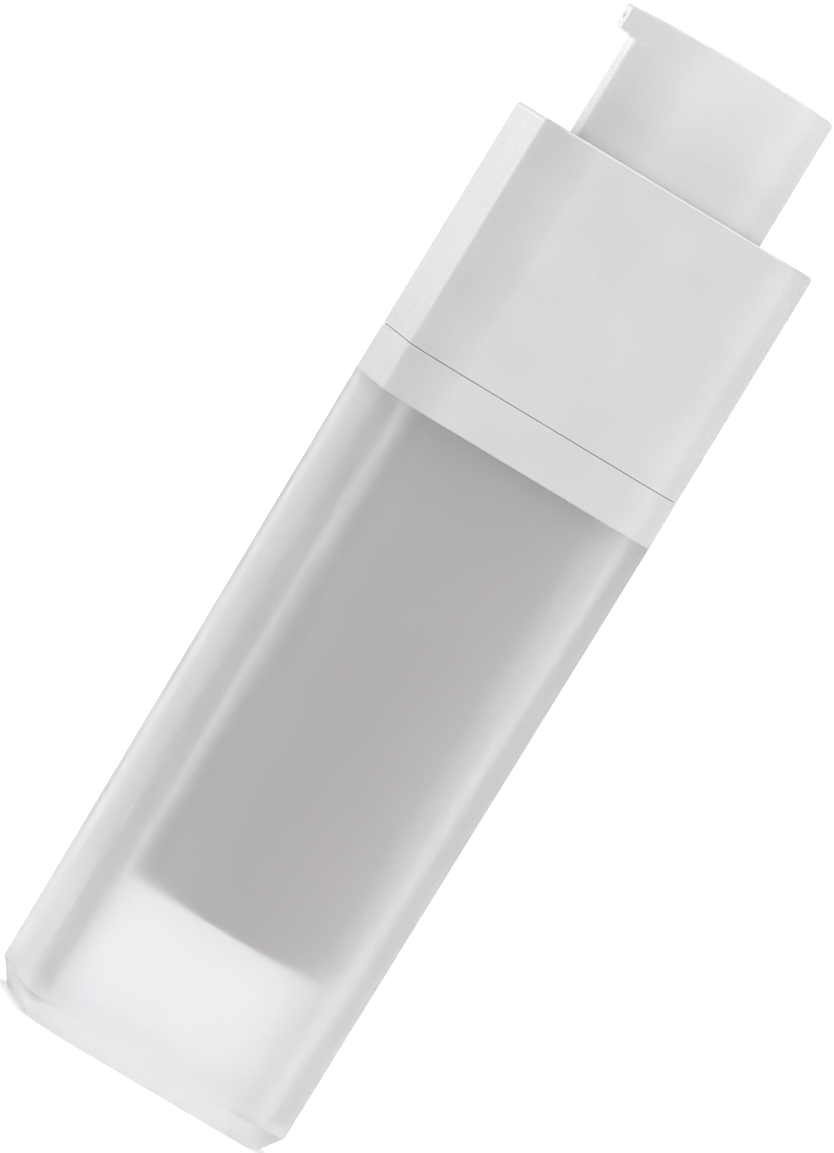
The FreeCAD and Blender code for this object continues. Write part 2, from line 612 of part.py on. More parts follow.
def make_pump_housing():
    """Stepped pump cylinder with its throat and flange, and the inlet valve's cage in its tip."""
    return turned_piece("pump_housing", [
        ("throat_radius", "closure_top"),
        ("throat_radius", "closure_bottom"),
        ("flange_radius", "closure_bottom"),
        ("flange_radius", "flange_bottom"),
        ("bowl_radius", "flange_bottom"),
        ("bowl_radius", "flange_bottom - bowl_depth"),
        ("barrel_radius", "flange_bottom - bowl_depth - barrel_wall"),
        ("barrel_radius", "chamber_floor - barrel_wall / 2"),
        ("tip_radius", "chamber_floor - barrel_wall"),
        ("tip_radius", "tip_end"),
        ("inlet_radius", "tip_end"),
        ("inlet_radius", "seat_bottom"),
        ("cage_radius", "seat_top"),
        ("cage_radius", "cage_top"),
        ("mouth_radius", "cage_top"),
        ("mouth_radius", "chamber_floor"),
        ("barrel_bore", "chamber_floor"),
        ("barrel_bore", "chamber_top"),
        ("throat_bore", "chamber_top + throat_bore - barrel_bore"),
        ("throat_bore", "closure_top"),
    ])


def make_housing_cap():
    """Plug that closes the pump's throat, guides the stem and carries the return spring."""
    return turned_piece("housing_cap", [
        ("stem_radius + stem_gap", "cap_bottom"),
        ("throat_bore - snap_gap", "cap_bottom"),
        ("throat_bore - snap_gap", "closure_top"),
        ("throat_radius + ring_gap", "closure_top"),
        ("throat_radius + ring_gap", "cap_top"),
        ("stem_radius + stem_gap + boss_wall", "cap_top"),
        ("stem_radius + stem_gap + boss_wall", "cap_top + boss_height"),
        ("stem_radius + stem_gap", "cap_top + boss_height"),
    ])


def make_neck_gasket():
    """Flat ring between the pump's flange and the cup's neck."""
    return turned_piece("neck_gasket", [
        ("gasket_bore", "gasket_bottom"),
        ("flange_radius", "gasket_bottom"),
        ("flange_radius", "flange_bottom"),
        ("gasket_bore", "flange_bottom"),
    ])


def make_inlet_ball():
    """Ball of the inlet valve, just clear of its conical seat."""
    ball = document.addObject("Part::Sphere", "inlet_ball")
    bind(ball, Radius="ball_radius", Placement__Base__z="ball_level")
    return ball


def make_pump_stem():
    """Hollow stem with a collar that drives the pump piston."""
    collar_end = "chamber_top + stem_collar_height"
    return turned_piece("pump_stem", [
        ("stem_bore", "piston_bottom - stem_foot"),
        ("stem_radius", "piston_bottom - stem_foot"),
        ("stem_radius", "chamber_top"),
        ("stem_radius + stem_collar_reach", "chamber_top"),
        ("stem_radius + stem_collar_reach", collar_end),
        ("stem_radius", collar_end),
        ("stem_radius", "stem_top"),
        ("stem_bore", "stem_top"),
    ])


def make_pump_piston():
    """Soft piston on the stem, with a lip at each end."""
    edge = "barrel_bore - stem_gap"
    return turned_piece("pump_piston", [
        ("stem_radius + snap_gap", "piston_bottom"),
        (edge, "piston_bottom"),
        (edge, "piston_bottom + piston_lip"),
        (f"{edge} - piston_waist", "piston_bottom + piston_lip"),
        (f"{edge} - piston_waist", "chamber_top - piston_lip"),
        (edge, "chamber_top - piston_lip"),
        (edge, "chamber_top"),
        ("stem_radius + snap_gap", "chamber_top"),
    ])


def make_return_spring():
    """Open coil between the housing cap and the nozzle duct's plate."""
    body = start_body("return_spring")
    wire = start_sketch(body, "XZ_Plane")
    centre = FreeCAD.Vector(value(wire, "spring_radius"), value(wire, "cap_top + wire_radius"))
    wire.addGeometry(Part.Circle(centre, FreeCAD.Vector(0, 0, 1), value(wire, "wire_radius")), False)
    fix_point(wire, 0, 3, "spring_radius", "cap_top + wire_radius")
    size = Sketcher.Constraint("Radius", 0, value(wire, "wire_radius"))
    bind(wire, **{f"Constraints[{wire.addConstraint(size)}]": "wire_radius"})
    coil = body.newObject("PartDesign::AdditiveHelix", "return_spring_coil")
    coil.Profile = wire
    coil.ReferenceAxis = (wire, ["V_Axis"])
    coil.Mode = "height-turns-angle"
    bind(coil, Height="spring_length - 2 * wire_radius", Turns="spring_turns")
    return body


def at_lip_end(body):
    """The test whether an edge stands upright at the lip's end."""
    front = -value(body, "head_front")
    return lambda edge: all(abs(vertex.Y - front) < FLATNESS for vertex in edge.Vertexes) and (
        abs(edge.Vertexes[0].Z - edge.Vertexes[-1].Z) > FLATNESS)


def on_crown(body):
    """The test whether an edge lies on the arch of the head's top."""
    top, radius = value(body, "head_top"), value(body, "crown_radius")
    return lambda edge: all(abs(math.hypot(vertex.Y, vertex.Z - top + radius) - radius) < FLATNESS
                            for vertex in edge.Vertexes)


def crown_top(body):
    """Cuts the head's top to a shallow arch along its length."""
    sketch = start_sketch(body, "YZ_Plane")
    reach, end, top, radius = (value(sketch, text) for text in
                               ("crown_reach", "crown_end", "head_top + overrun", "crown_radius"))
    spot = FreeCAD.Vector
    outline = [spot(-reach, end), spot(-reach, top), spot(reach, top), spot(reach, end)]
    sketch.addGeometry([Part.LineSegment(a, b) for a, b in zip(outline, outline[1:])], False)
    crest = spot(0, value(sketch, "head_top"))
    sketch.addGeometry(Part.Arc(outline[3], crest, outline[0]), False)
    for side in range(4):
        sketch.addConstraint(Sketcher.Constraint("Coincident", side, 2, (side + 1) % 4, 1))
    fix_point(sketch, 0, 1, "-crown_reach", "crown_end")
    fix_point(sketch, 1, 1, "-crown_reach", "head_top + overrun")
    fix_point(sketch, 2, 1, "crown_reach", "head_top + overrun")
    fix_point(sketch, 2, 2, "crown_reach", "crown_end")
    size = Sketcher.Constraint("Radius", 3, radius)
    bind(sketch, **{f"Constraints[{sketch.addConstraint(size)}]": "crown_radius"})
    extrude(body, "Pocket", sketch, "head_width + 2 * overrun", Midplane=True)


def make_press_head():
    """Hollow push head with round corners, an arched top and a narrow nozzle lip beyond its front."""
    body = start_body("press_head")
    plan = ("head_width", "head_length", "head_corner")
    rounded_block(body, "Pad", "head_top", "head_top - skirt_bottom", plan)
    lip = start_sketch(body, "XY_Plane", level="head_top")
    draw_outline(lip, lip_plan("0"))
    extrude(body, "Pad", lip, "lip_thickness", Reversed=True)
    round_edges(body, "lip_round", at_lip_end(body))
    underside = start_sketch(body, "YZ_Plane")
    draw_outline(underside, [
        ("-head_front - overrun", "lip_bottom"),
        ("-head_length / 2", "lip_bottom"),
        ("-head_front - overrun", "lip_bottom + lip_rise * (lip_reach + overrun) / lip_reach"),
    ])
    extrude(body, "Pocket", underside, "head_width", Midplane=True)
    crown_top(body)
    round_edges(body, "head_round", on_crown(body))
    inside = ("head_width - 2 * head_wall", "head_length - 2 * head_wall", "head_corner - head_wall")
    rounded_block(body, "Pocket", "head_ceiling", "head_ceiling - skirt_bottom + overrun", inside)
    outlet = start_sketch(body, "XZ_Plane")
    draw_circle(outlet, "arm_radius + snap_gap", "nozzle_level")
    extrude(body, "Pocket", outlet, "head_front + overrun", Reversed=True)
    return body


def make_nozzle_duct():
    """Core of the head: a column that takes the stem, a plate that fills the head and an arm to the lip."""
    body = start_body("nozzle_duct")
    room = "2 * (head_wall + snap_gap)"
    plate = (f"head_width - {room}", f"head_length - {room}", "head_corner - head_wall - snap_gap")
    rounded_block(body, "Pad", "core_level + core_plate", "core_plate", plate)
    column = start_sketch(body, "XY_Plane", level="core_level")
    draw_circle(column, "core_radius")
    extrude(body, "Pad", column, "head_ceiling - snap_gap - core_level")
    section = start_sketch(body, "XZ_Plane")
    draw_circle(section, "arm_radius", "nozzle_level")
    extrude(body, "Pad", section, "head_front - nozzle_length - valve_length")
    round_hole(body, "stem_top + seat_gap", "socket_depth + seat_gap + overrun", "stem_radius + snap_gap")
    round_hole(body, "nozzle_level", "nozzle_level - stem_top", "stem_bore")
    channel = start_sketch(body, "XZ_Plane")
    draw_circle(channel, "channel_radius", "nozzle_level")
    extrude(body, "Pocket", channel, "head_front", Reversed=True)
    return body


def outlet_piece(label, inner, outer, near, far):
    """A bush in the lip's bore between two distances from the bottle's axis, towards the front."""
    body = turned_piece(label, [(inner, near), (outer, near), (outer, far), (inner, far)], "XY_Plane")
    bind(body, Placement__Base__z="nozzle_level", Placement__Rotation__Angle="180")
    return body


def make_outlet_valve():
    """Soft valve between the duct's arm and the nozzle tip."""
    end = "head_front - nozzle_length"
    return outlet_piece("outlet_valve", "channel_radius / 2", "arm_radius", f"{end} - valve_length", end)


def make_nozzle_tip():
    """Bush that holds the outlet valve in the lip's front edge."""
    start = "head_front - nozzle_length"
    return outlet_piece("nozzle_tip", "channel_radius", "arm_radius", start, "head_front")


def make_inner_cup():
    """Round cup, open below, with a shoulder and a neck for the pump."""
    return turned_piece("inner_cup", [
        ("cup_radius", "cup_bottom"),
        ("cup_radius", "shoulder_top - cup_shoulder"),
        ("cup_radius - cup_shoulder", "shoulder_top"),
        ("neck_radius", "shoulder_top"),
        ("neck_radius", "neck_top"),
        ("neck_bore", "neck_top"),
        ("neck_bore", "cup_ceiling"),
        ("cup_bore", "cup_ceiling"),
        ("cup_bore", "cup_bottom"),
    ])


def make_cup_base():
    """Shallow vented disc pressed into the cup's open end."""
    rim = "cup_bore - snap_gap"
    return turned_piece("cup_base", [
        ("vent_radius", "cup_bottom + base_height - base_web"),
        (f"{rim} - base_rim", "cup_bottom + base_height - base_web"),
        (f"{rim} - base_rim", "cup_bottom"),
        (rim, "cup_bottom"),
        (rim, "cup_bottom + base_height"),
        ("vent_radius", "cup_bottom + base_height"),
    ])


def make_follower_piston():
    """Follower with a lip at each end and a well for the pump's tip, hollow from below."""
    waist = "follower_radius - follower_waist"
    well_floor = "follower_top - follower_well_depth"
    return turned_piece("follower_piston", [
        ("0", f"{well_floor} - follower_wall"),
        ("0", well_floor),
        ("follower_well", well_floor),
        ("follower_well", "follower_top"),
        ("follower_radius", "follower_top"),
        ("follower_radius", "follower_top - follower_lip"),
        (waist, "follower_top - follower_lip"),
        (waist, "follower_bottom + follower_lip"),
        ("follower_radius", "follower_bottom + follower_lip"),
        ("follower_radius", "follower_bottom"),
        (f"{waist} - follower_wall", "follower_bottom"),
        (f"{waist} - follower_wall", "follower_top - follower_wall"),
        ("follower_well + follower_wall", "follower_top - follower_wall"),
        ("follower_well + follower_wall", f"{well_floor} - follower_wall"),
    ])


def spring_gap():
    """The least gap between two turns of the spring's wire, measured on points of its middle line."""
    sheet = document.getObject("Sizes")
    names = ("spring_radius", "wire_radius", "spring_length", "spring_turns")
    radius, wire, length, turns = (value(sheet, name) for name in names)
    count = round(turns * POINTS_PER_TURN)
    points = []
    for step in range(count + 1):
        angle = 2 * math.pi * turns * step / count
        rise = (length - 2 * wire) * step / count
        points.append(FreeCAD.Vector(radius * math.cos(angle), radius * math.sin(angle), rise))
    apart = min((far - near).Length for spot, near in enumerate(points)
                for far in points[spot + POINTS_PER_TURN // 2:])
    return apart - 2 * wire


def check_document():
    """Stops if any object failed or any piece has no sound solid."""
    failed = [item.Name for item in document.Objects if {"Invalid", "Error"} & set(item.State)]
    if failed:
        raise RuntimeError(f"objects that failed: {failed}")
    for piece in pieces:
        shape = piece.Shape
        if shape.isNull() or not shape.isValid() or shape.Volume <= 0 or not shape.Solids:
            raise RuntimeError(f"{piece.Label} has no sound solid")


document = FreeCAD.newDocument("AirlessPumpBottle")
fill_sheet(document, "Sizes", SIZES)
fill_sheet(document, "Counts", COUNTS)
fill_sheet(document, "Places", [(name, f"={formula(text)}", "") for name, text in PLACES])
pieces = [
    make_outer_bottle(),
    make_collar_ring(),
    make_cam_sleeve(),
    make_upper_collar(),
    make_lift_carrier(),
    make_pump_housing(),
    make_housing_cap(),
    make_neck_gasket(),
    make_inlet_ball(),
    make_pump_stem(),
    make_pump_piston(),
    make_return_spring(),
    make_press_head(),
    make_nozzle_duct(),
    make_outlet_valve(),
    make_nozzle_tip(),
    make_inner_cup(),
    make_cup_base(),
    make_follower_piston(),
]
document.recompute()
check_document()
os.makedirs("parts", exist_ok=True)
for piece in pieces:
    piece.Shape.exportStep(f"parts/{piece.Label}.step")
    print(f"{piece.Label}: {len(piece.Shape.Solids)} solid, {piece.Shape.Volume:.1f} mm3")
print(f"return_spring: least gap to itself {spring_gap():.3f} mm")
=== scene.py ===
"""Looks of the airless pump bottle: frosted bottle, satin white collar and head, grey-white inner cup.

Lengths are in metres unless a name ends in mm, and angles are in degrees.
Z is up and the nozzle points along -Y.
"""

import math

import bmesh
import bpy
from mathutils import Matrix, Vector


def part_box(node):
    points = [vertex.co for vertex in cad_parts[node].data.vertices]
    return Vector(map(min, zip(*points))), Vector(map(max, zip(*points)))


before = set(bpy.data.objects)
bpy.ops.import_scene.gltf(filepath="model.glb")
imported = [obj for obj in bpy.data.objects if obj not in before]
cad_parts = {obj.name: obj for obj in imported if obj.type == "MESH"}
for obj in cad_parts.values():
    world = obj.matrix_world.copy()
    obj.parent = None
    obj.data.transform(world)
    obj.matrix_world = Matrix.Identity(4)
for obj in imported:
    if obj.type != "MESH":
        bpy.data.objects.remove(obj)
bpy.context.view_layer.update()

MM = 0.001

# The photograph: its height in pixels, the bottle's lean in it and the scale at the bottle's axis.
PHOTO_HEIGHT = 1153
LEAN = 31.3
PIXELS_PER_MM = 8.71

# The camera sees mostly the +X side, turned a little towards the nozzle's, level with the collar's top.
CAMERA_AZIMUTH = 80.5
CAMERA_DISTANCE = 1.5
CAMERA_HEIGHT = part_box("upper_collar")[1].z
CLIP_NEAR = 0.01
CLIP_FAR = 100.0

# The sensor's size along the photograph's longer side.
SENSOR_MM = 36.0

# The point that it looks at, seen from the camera: across from the bottle's axis and above the floor.
AIM_ACROSS = -0.0012
AIM_HEIGHT = 0.0653

# The table top glows with painted light, with no lamp under it, most in a round patch that lies a little on
# the camera's side of the bottle and fills its shadow.
FLOOR_RADIUS = 4.0
FLOOR_SIDES = 96
TABLE_GLOW = 0.31
TABLE_GLOW_FAR = 0.12
GLOW_FORWARD = 0.03
GLOW_INSIDE = 0.03
GLOW_OUTSIDE = 0.10

# The room is grey with a brighter horizon, which reaches this far up and down before it fades.
# Both lengths are sines of the angle above or below the floor's level.
ROOM_LIGHT = 0.25
HORIZON_LIGHT = 0.68
HORIZON_SPREAD = 0.22
HORIZON_FADE = 0.30

# Part of the horizon is shaded, in front of the bottle and to the nozzle's side.
SHADE_LIGHT = 0.32
SHADE_AZIMUTH = 42.0
SHADE_INSIDE = 31.8
SHADE_OUTSIDE = 78.5

# A bright screen stands straight behind the bottle, and fades out at its sides.
SCREEN_LIGHT = 1.4
SCREEN_AZIMUTH = CAMERA_AZIMUTH + 180.0
SCREEN_INSIDE = 9.0
SCREEN_OUTSIDE = 20.0

# The ceiling is one wide even light.
CEILING_LIGHT = 2.5
CEILING_SPREAD = 70.0

# Nearly all of the patterns' noise lies between these two values.
NOISE_LOW = 0.3
NOISE_HIGH = 0.7

# Painted light: a white moulding's colour goes near white where a surface faces it this close, in the seam
# and low on the head, in place of the light that white plastics pass to each other.
SEAM_LIGHT_REACH_MM = 0.6
HEAD_LIGHT_REACH_MM = 5.0
PAINTED_GAP_LIGHT = "#FAFAFB"
GAP_LIGHT_SAMPLES = 8

WHITE_LIGHT = (1.0, 1.0, 1.0, 1.0)


def linear(colour):
    """An sRGB hex colour as linear red, green, blue and alpha."""
    parts = [int(colour[start:start + 2], 16) / 255 for start in (1, 3, 5)]
    return [part / 12.92 if part <= 0.04045 else ((part + 0.055) / 1.055) ** 2.4 for part in parts] + [1.0]


def add(tree, kind, links=(), inputs=(), **settings):
    """One shader node: links are (input, source node, its output), inputs are (input, value)."""
    node = tree.nodes.new(kind)
    for name, setting in settings.items():
        setattr(node, name, setting)
    for name, setting in inputs:
        node.inputs[name].default_value = setting
    for name, source, output in links:
        tree.links.new(source.outputs[output], node.inputs[name])
    return node


def start_material(name, finish):
    """A material with its surface shader, whose finish holds the inputs that are the same all over."""
    material = bpy.data.materials.new(name)
    material.use_nodes = True
    tree = material.node_tree
    tree.nodes.clear()
    shader = add(tree, "ShaderNodeBsdfPrincipled", inputs=finish)
    add(tree, "ShaderNodeOutputMaterial", links=[("Surface", shader, "BSDF")])
    return material, tree, shader


def grain(tree, size_mm, detail=2.0, roughness=0.5, stretch=None):
    """Noise over the solid with features of a real size, stretched along an axis if wanted."""
    source = add(tree, "ShaderNodeTexCoord")
    output = "Object"
    if stretch:
        source = add(tree, "ShaderNodeMapping", links=[("Vector", source, output)],
                     inputs=[("Scale", stretch)])
        output = "Vector"
    return add(tree, "ShaderNodeTexNoise", links=[("Vector", source, output)],
               inputs=[("Scale", 1 / (size_mm * MM)), ("Detail", detail), ("Roughness", roughness)])


def vary(tree, noise, low, high):
    """The noise brought to a range of values."""
    return add(tree, "ShaderNodeMapRange", links=[("Value", noise, "Fac")],
               inputs=[("From Min", NOISE_LOW), ("From Max", NOISE_HIGH), ("To Min", low), ("To Max", high)])


def tint(tree, noise, dark, light):
    """The noise as a colour between two sRGB hex colours."""
    ramp = add(tree, "ShaderNodeValToRGB", links=[("Fac", noise, "Fac")])
    for stop, position, colour in zip(ramp.color_ramp.elements, (NOISE_LOW, NOISE_HIGH), (dark, light)):
        stop.position = position
        stop.color = linear(colour)
    return ramp


def paint_gap_light(tree, colour, reach_mm):
    """The colour turned near white close to other surfaces: painted light in place of the light that white
    plastics pass to each other.
    """
    openness = add(tree, "ShaderNodeAmbientOcclusion", inputs=[("Distance", reach_mm * MM)],
                   samples=GAP_LIGHT_SAMPLES)
    return add(tree, "ShaderNodeMixRGB", links=[("Fac", openness, "AO"), ("Color2", colour, "Color")],
               inputs=[("Color1", linear(PAINTED_GAP_LIGHT))])


def relief(tree, noise, height_mm, below=None):
    """A bump of a real height from the noise, over another bump if there is one."""
    links = [("Height", noise, "Fac")]
    if below:
        links.append(("Normal", below, "Normal"))
    return add(tree, "ShaderNodeBump", links=links, inputs=[("Strength", 1.0), ("Distance", height_mm * MM)])


def join(tree, shader, colour=None, roughness=None, normal=None):
    """Links the colour, roughness and normal patterns to the surface shader."""
    for name, source, output in (("Base Color", colour, "Color"), ("Roughness", roughness, "Result"),
                                 ("Normal", normal, "Normal")):
        if source:
            tree.links.new(source.outputs[output], shader.inputs[name])


def satin_abs():
    """ABS from a fine spark-eroded mould: an even satin sheen, with a slow wave where the wall has cooled."""
    material, tree, shader = start_material("satin_abs", finish=[
        ("IOR", 1.54), ("Specular IOR Level", 0.5), ("Subsurface Weight", 0.15),
        ("Subsurface Radius", (1.0, 1.0, 1.0)), ("Subsurface Scale", 0.4 * MM)])
    slow = grain(tree, size_mm=9.0, detail=1.0)
    # The mould's marks are under 0.1 mm wide, too fine to show, and are drawn two to three times as coarse.
    fine = grain(tree, size_mm=0.22, roughness=0.6)
    skin = tint(tree, slow, dark="#C7C7C9", light="#CBCBCD")
    wave = relief(tree, slow, height_mm=0.012)
    # The colour carries painted light, near white inside the seam.
    join(tree, shader,
         colour=paint_gap_light(tree, skin, SEAM_LIGHT_REACH_MM),
         roughness=vary(tree, fine, low=0.22, high=0.28),
         normal=relief(tree, fine, height_mm=0.0003, below=wave))
    return material


def satin_pp():
    """Polypropylene with a finely matted skin: softer sheen than ABS, and light goes a little way in."""
    material, tree, shader = start_material("satin_pp", finish=[
        ("IOR", 1.49), ("Specular IOR Level", 0.5), ("Subsurface Weight", 0.12),
        ("Subsurface Radius", (1.0, 0.98, 0.96)), ("Subsurface Scale", 1.2 * MM)])
    slow = grain(tree, size_mm=7.0, detail=1.0)
    # The matting is drawn about twice as coarse as it is, so that it shows.
    fine = grain(tree, size_mm=0.2, roughness=0.6)
    skin = tint(tree, slow, dark="#D3D3D5", light="#D7D7D9")
    wave = relief(tree, slow, height_mm=0.009)
    # The colour carries painted light, near white low on the head where it sits close to the collar.
    join(tree, shader,
         colour=paint_gap_light(tree, skin, HEAD_LIGHT_REACH_MM),
         roughness=vary(tree, fine, low=0.26, high=0.32),
         normal=relief(tree, fine, height_mm=0.0003, below=wave))
    return material


def moulded_acetal():
    """White acetal as it leaves the mould: slightly slick, with faint flow marks up the sleeve."""
    material, tree, shader = start_material("moulded_acetal", finish=[
        ("IOR", 1.48), ("Specular IOR Level", 0.5), ("Subsurface Weight", 0.1),
        ("Subsurface Radius", (1.0, 1.0, 1.0)), ("Subsurface Scale", 1.0 * MM)])
    flow = grain(tree, size_mm=1.6, stretch=(1.0, 1.0, 0.2))
    join(tree, shader,
         colour=tint(tree, flow, dark="#E0E1E1", light="#E9E9E8"),
         roughness=vary(tree, flow, low=0.26, high=0.34),
         normal=relief(tree, flow, height_mm=0.0012))
    return material


def moulded_pp(name, dark, light, low, high):
    """White polypropylene from a smooth mould: a soft shine with faint flow marks."""
    material, tree, shader = start_material(name, finish=[
        ("IOR", 1.49), ("Specular IOR Level", 0.5), ("Subsurface Weight", 0.2),
        ("Subsurface Radius", (1.0, 0.98, 0.94)), ("Subsurface Scale", 1.5 * MM)])
    flow = grain(tree, size_mm=1.2, detail=3.0)
    join(tree, shader,
         colour=tint(tree, flow, dark, light),
         roughness=vary(tree, flow, low, high),
         normal=relief(tree, flow, height_mm=0.002))
    return material


def natural_pp():
    """Uncoloured polypropylene: cloudy, with a soft gloss, and light goes through it."""
    material, tree, shader = start_material("natural_pp", finish=[
        ("IOR", 1.49), ("Transmission Weight", 0.45), ("Specular IOR Level", 0.5)])
    cloud = grain(tree, size_mm=1.5, detail=3.0)
    join(tree, shader,
         colour=tint(tree, cloud, dark="#DEE0DF", light="#EEF0EF"),
         roughness=vary(tree, cloud, low=0.24, high=0.36),
         normal=relief(tree, cloud, height_mm=0.0008))
    return material


def soft_seal():
    """Soft white elastomer of the lips and the gasket: dull, with a faint bloom on the skin."""
    material, tree, shader = start_material("soft_seal_elastomer", finish=[
        ("IOR", 1.45), ("Specular IOR Level", 0.35), ("Sheen Weight", 0.15), ("Sheen Roughness", 0.5)])
    bloom = grain(tree, size_mm=0.5, detail=3.0)
    join(tree, shader,
         colour=tint(tree, bloom, dark="#D9D9D7", light="#E4E4E2"),
         roughness=vary(tree, bloom, low=0.52, high=0.66),
         normal=relief(tree, bloom, height_mm=0.002))
    return material


def polished_steel():
    """Polished stainless steel ball: mirror bright, with faint lapping marks."""
    material, tree, shader = start_material("polished_steel_ball", finish=[("Metallic", 1.0)])
    # Real lapping marks are a few hundredths of a millimetre wide, and are drawn coarser to show.
    lapping = grain(tree, size_mm=0.12)
    join(tree, shader,
         colour=tint(tree, lapping, dark="#C4C6C9", light="#CED0D2"),
         roughness=vary(tree, lapping, low=0.06, high=0.12))
    return material


def drawn_wire():
    """Drawn stainless spring wire: dull metal with marks that run round the coil."""
    material, tree, shader = start_material("drawn_steel_wire", finish=[("Metallic", 1.0)])
    # The die leaves finer marks, too fine to show, and they are drawn coarser.
    marks = grain(tree, size_mm=0.15, stretch=(0.3, 0.3, 3.0))
    join(tree, shader,
         colour=tint(tree, marks, dark="#A9ABAE", light="#BFC1C3"),
         roughness=vary(tree, marks, low=0.22, high=0.36),
         normal=relief(tree, marks, height_mm=0.001))
    return material


def cup_pp():
    """Grey-white polypropylene cup: a matt skin with faint draw marks up its wall."""
    material, tree, shader = start_material("cup_polypropylene", finish=[
        ("IOR", 1.49), ("Specular IOR Level", 0.4), ("Subsurface Weight", 0.15),
        ("Subsurface Radius", (1.0, 0.95, 0.9)), ("Subsurface Scale", 2.0 * MM)])
    draw = grain(tree, size_mm=2.4, detail=3.0, stretch=(1.0, 1.0, 0.12))
    # The matt skin's own grain is about a third of this, too fine to show.
    fine = grain(tree, size_mm=0.35)
    skin = relief(tree, fine, height_mm=0.002)
    join(tree, shader,
         colour=tint(tree, draw, dark="#BCB5B3", light="#C3BCBA"),
         roughness=vary(tree, fine, low=0.42, high=0.52),
         normal=relief(tree, draw, height_mm=0.004, below=skin))
    return material


def waxy_pe():
    """Low-density polyethylene follower: waxy white with a soft sheen."""
    material, tree, shader = start_material("waxy_polyethylene", finish=[
        ("IOR", 1.51), ("Specular IOR Level", 0.45), ("Subsurface Weight", 0.3),
        ("Subsurface Radius", (1.0, 0.97, 0.92)), ("Subsurface Scale", 2.0 * MM)])
    wax = grain(tree, size_mm=0.9, detail=3.0)
    join(tree, shader,
         colour=tint(tree, wax, dark="#E2E2E0", light="#ECECEA"),
         roughness=vary(tree, wax, low=0.38, high=0.5),
         normal=relief(tree, wax, height_mm=0.0025))
    return material


def frosted_petg():
    """Thick clear PETG with an etched skin: what lies behind it shows softened, and the wall glows white."""
    material, tree, shader = start_material("frosted_petg", finish=[
        ("IOR", 1.45), ("Transmission Weight", 0.88), ("Specular IOR Level", 0.5)])
    slow = grain(tree, size_mm=12.0, detail=1.0)
    # The etched pits are finer than a pixel: they are left to the roughness, with a grain drawn coarser.
    etch = grain(tree, size_mm=0.18, roughness=0.6)
    join(tree, shader,
         colour=tint(tree, slow, dark="#F9F9FA", light="#FBFBFD"),
         roughness=vary(tree, etch, low=0.36, high=0.42))
    return material


def glowing_acrylic():
    """White acrylic table top, matt, which glows with painted light in a round patch, with no lamp below it.
    """
    material, tree, shader = start_material("glowing_white_acrylic", finish=[
        ("Specular IOR Level", 0.2), ("Emission Color", WHITE_LIGHT)])
    place = add(tree, "ShaderNodeTexCoord")
    away = add(tree, "ShaderNodeVectorMath", links=[(0, place, "Object")],
               inputs=[(1, (GLOW_FORWARD, 0.0, 0.0))], operation="DISTANCE")
    # Painted glow: the emission is strongest near the bottle, where it fills the bottle's shadow on the
    # table.
    glow = add(tree, "ShaderNodeMapRange", links=[("Value", away, "Value")],
               inputs=[("From Min", GLOW_INSIDE), ("From Max", GLOW_OUTSIDE),
                       ("To Min", TABLE_GLOW), ("To Max", TABLE_GLOW_FAR)],
               interpolation_type="SMOOTHSTEP")
    tree.links.new(glow.outputs["Result"], shader.inputs["Emission Strength"])
    mottle = grain(tree, size_mm=40.0)
    join(tree, shader,
         colour=tint(tree, mottle, dark="#F3F3F3", light="#F5F5F5"),
         roughness=vary(tree, mottle, low=0.85, high=0.95))
    return material


def dress_nodes():
    """Gives each piece of the frame its finish."""
    abs_skin = satin_abs()
    pp_skin = satin_pp()
    white_pp = moulded_pp("moulded_white_pp", dark="#E1E0DE", light="#E9E8E6", low=0.3, high=0.4)
    off_white_pp = moulded_pp("moulded_natural_pp", dark="#DADBD9", light="#E6E7E5", low=0.26, high=0.36)
    seal = soft_seal()
    cup = cup_pp()
    finishes = {
        "outer_bottle": frosted_petg(),
        "collar_ring": abs_skin,
        "upper_collar": abs_skin,
        "press_head": pp_skin,
        "nozzle_tip": pp_skin,
        "cam_sleeve": moulded_acetal(),
        "lift_carrier": white_pp,
        "nozzle_duct": white_pp,
        "pump_housing": natural_pp(),
        "housing_cap": off_white_pp,
        "pump_stem": off_white_pp,
        "neck_gasket": seal,
        "outlet_valve": seal,
        "pump_piston": seal,
        "inlet_ball": polished_steel(),
        "return_spring": drawn_wire(),
        "inner_cup": cup,
        "cup_base": cup,
        "follower_piston": waxy_pe(),
    }
    for name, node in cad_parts.items():
        node.data.materials.clear()
        node.data.materials.append(finishes[name])
        for face in node.data.polygons:
            face.material_index = 0


def make_floor():
    """Pale round table top under the bottle."""
    mesh = bpy.data.meshes.new("floor")
    shape = bmesh.new()
    bmesh.ops.create_circle(shape, cap_ends=True, radius=FLOOR_RADIUS, segments=FLOOR_SIDES)
    shape.to_mesh(mesh)
    shape.free()
    mesh.materials.append(glowing_acrylic())
    floor = bpy.data.objects.new("floor", mesh)
    bpy.context.scene.collection.objects.link(floor)


def around(azimuth, distance, height):
    """The point at a distance from the axis: azimuth 0 is in front of the nozzle, 90 on the +X side."""
    turn = math.radians(azimuth)
    return Vector((distance * math.sin(turn), -distance * math.cos(turn), height))


def towards(tree, place, azimuth, inside, outside, near, far):
    """A value over the room: near within one angle of an azimuth, and far beyond a wider one."""
    facing = add(tree, "ShaderNodeVectorMath", links=[(0, place, "Generated")],
                 inputs=[(1, around(azimuth, distance=1.0, height=0.0))], operation="DOT_PRODUCT")
    return add(tree, "ShaderNodeMapRange", links=[("Value", facing, "Value")],
               inputs=[("From Min", math.cos(math.radians(outside))),
                       ("From Max", math.cos(math.radians(inside))), ("To Min", far), ("To Max", near)],
               interpolation_type="SMOOTHSTEP")


